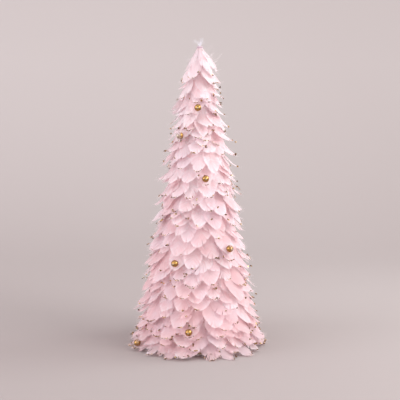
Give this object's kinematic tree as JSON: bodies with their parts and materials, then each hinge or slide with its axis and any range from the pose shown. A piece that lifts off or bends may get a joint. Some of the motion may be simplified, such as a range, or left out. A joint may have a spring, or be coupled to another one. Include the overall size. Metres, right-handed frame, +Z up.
{
  "type": "feather christmas tree",
  "caption": "Tabletop cone tree of overlapping pale pink feathers with gold-dusted tips and small gold beads, on a round felt-padded base.",
  "frame": {"origin": "centre of the felt pad's underside, which stands on the table", "axes": "+Z up along the cone's axis, -Y to the front, +X to the viewer's right"},
  "size_m": [0.2124, 0.2122, 0.4572],
  "materials": {
    "feather": "matt",
    "down": "fluffy",
    "tape": "woven",
    "felt": "matt",
    "band": "wound thread",
    "foam": "beaded, painted",
    "board": "pressed",
    "dowel": "sanded",
    "bead": "polished",
    "pin": "polished"
  },
  "bodies": {
    "root": {"base_board": "board", "bead_pins": "pin", "crown_band": "band", "crown_down": "down", "crown_feathers": "feather", "feathers_01": "feather", "feathers_02": "feather", "feathers_03": "feather", "feathers_04": "feather", "feathers_05": "feather", "feathers_06": "feather", "feathers_07": "feather", "feathers_08": "feather", "feathers_09": "feather", "feathers_10": "feather", "feathers_11": "feather", "feathers_12": "feather", "feathers_13": "feather", "feathers_14": "feather", "feathers_15": "feather", "feathers_16": "feather", "feathers_17": "feather", "feathers_18": "feather", "feathers_19": "feather", "feathers_20": "feather", "feathers_21": "feather", "felt_pad": "felt", "foam_cone": "foam", "gold_beads": "bead", "tape_01": "tape", "tape_02": "tape", "tape_03": "tape", "tape_04": "tape", "tape_05": "tape", "tape_06": "tape", "tape_07": "tape", "tape_08": "tape", "tape_09": "tape", "tape_10": "tape", "tape_11": "tape", "tape_12": "tape", "tape_13": "tape", "tape_14": "tape", "tape_15": "tape", "tape_16": "tape", "tape_17": "tape", "tape_18": "tape", "tape_19": "tape", "tape_20": "tape", "tape_21": "tape", "tape_pins": "pin", "tip_dowel": "dowel"}
  },
  "joints": []
}
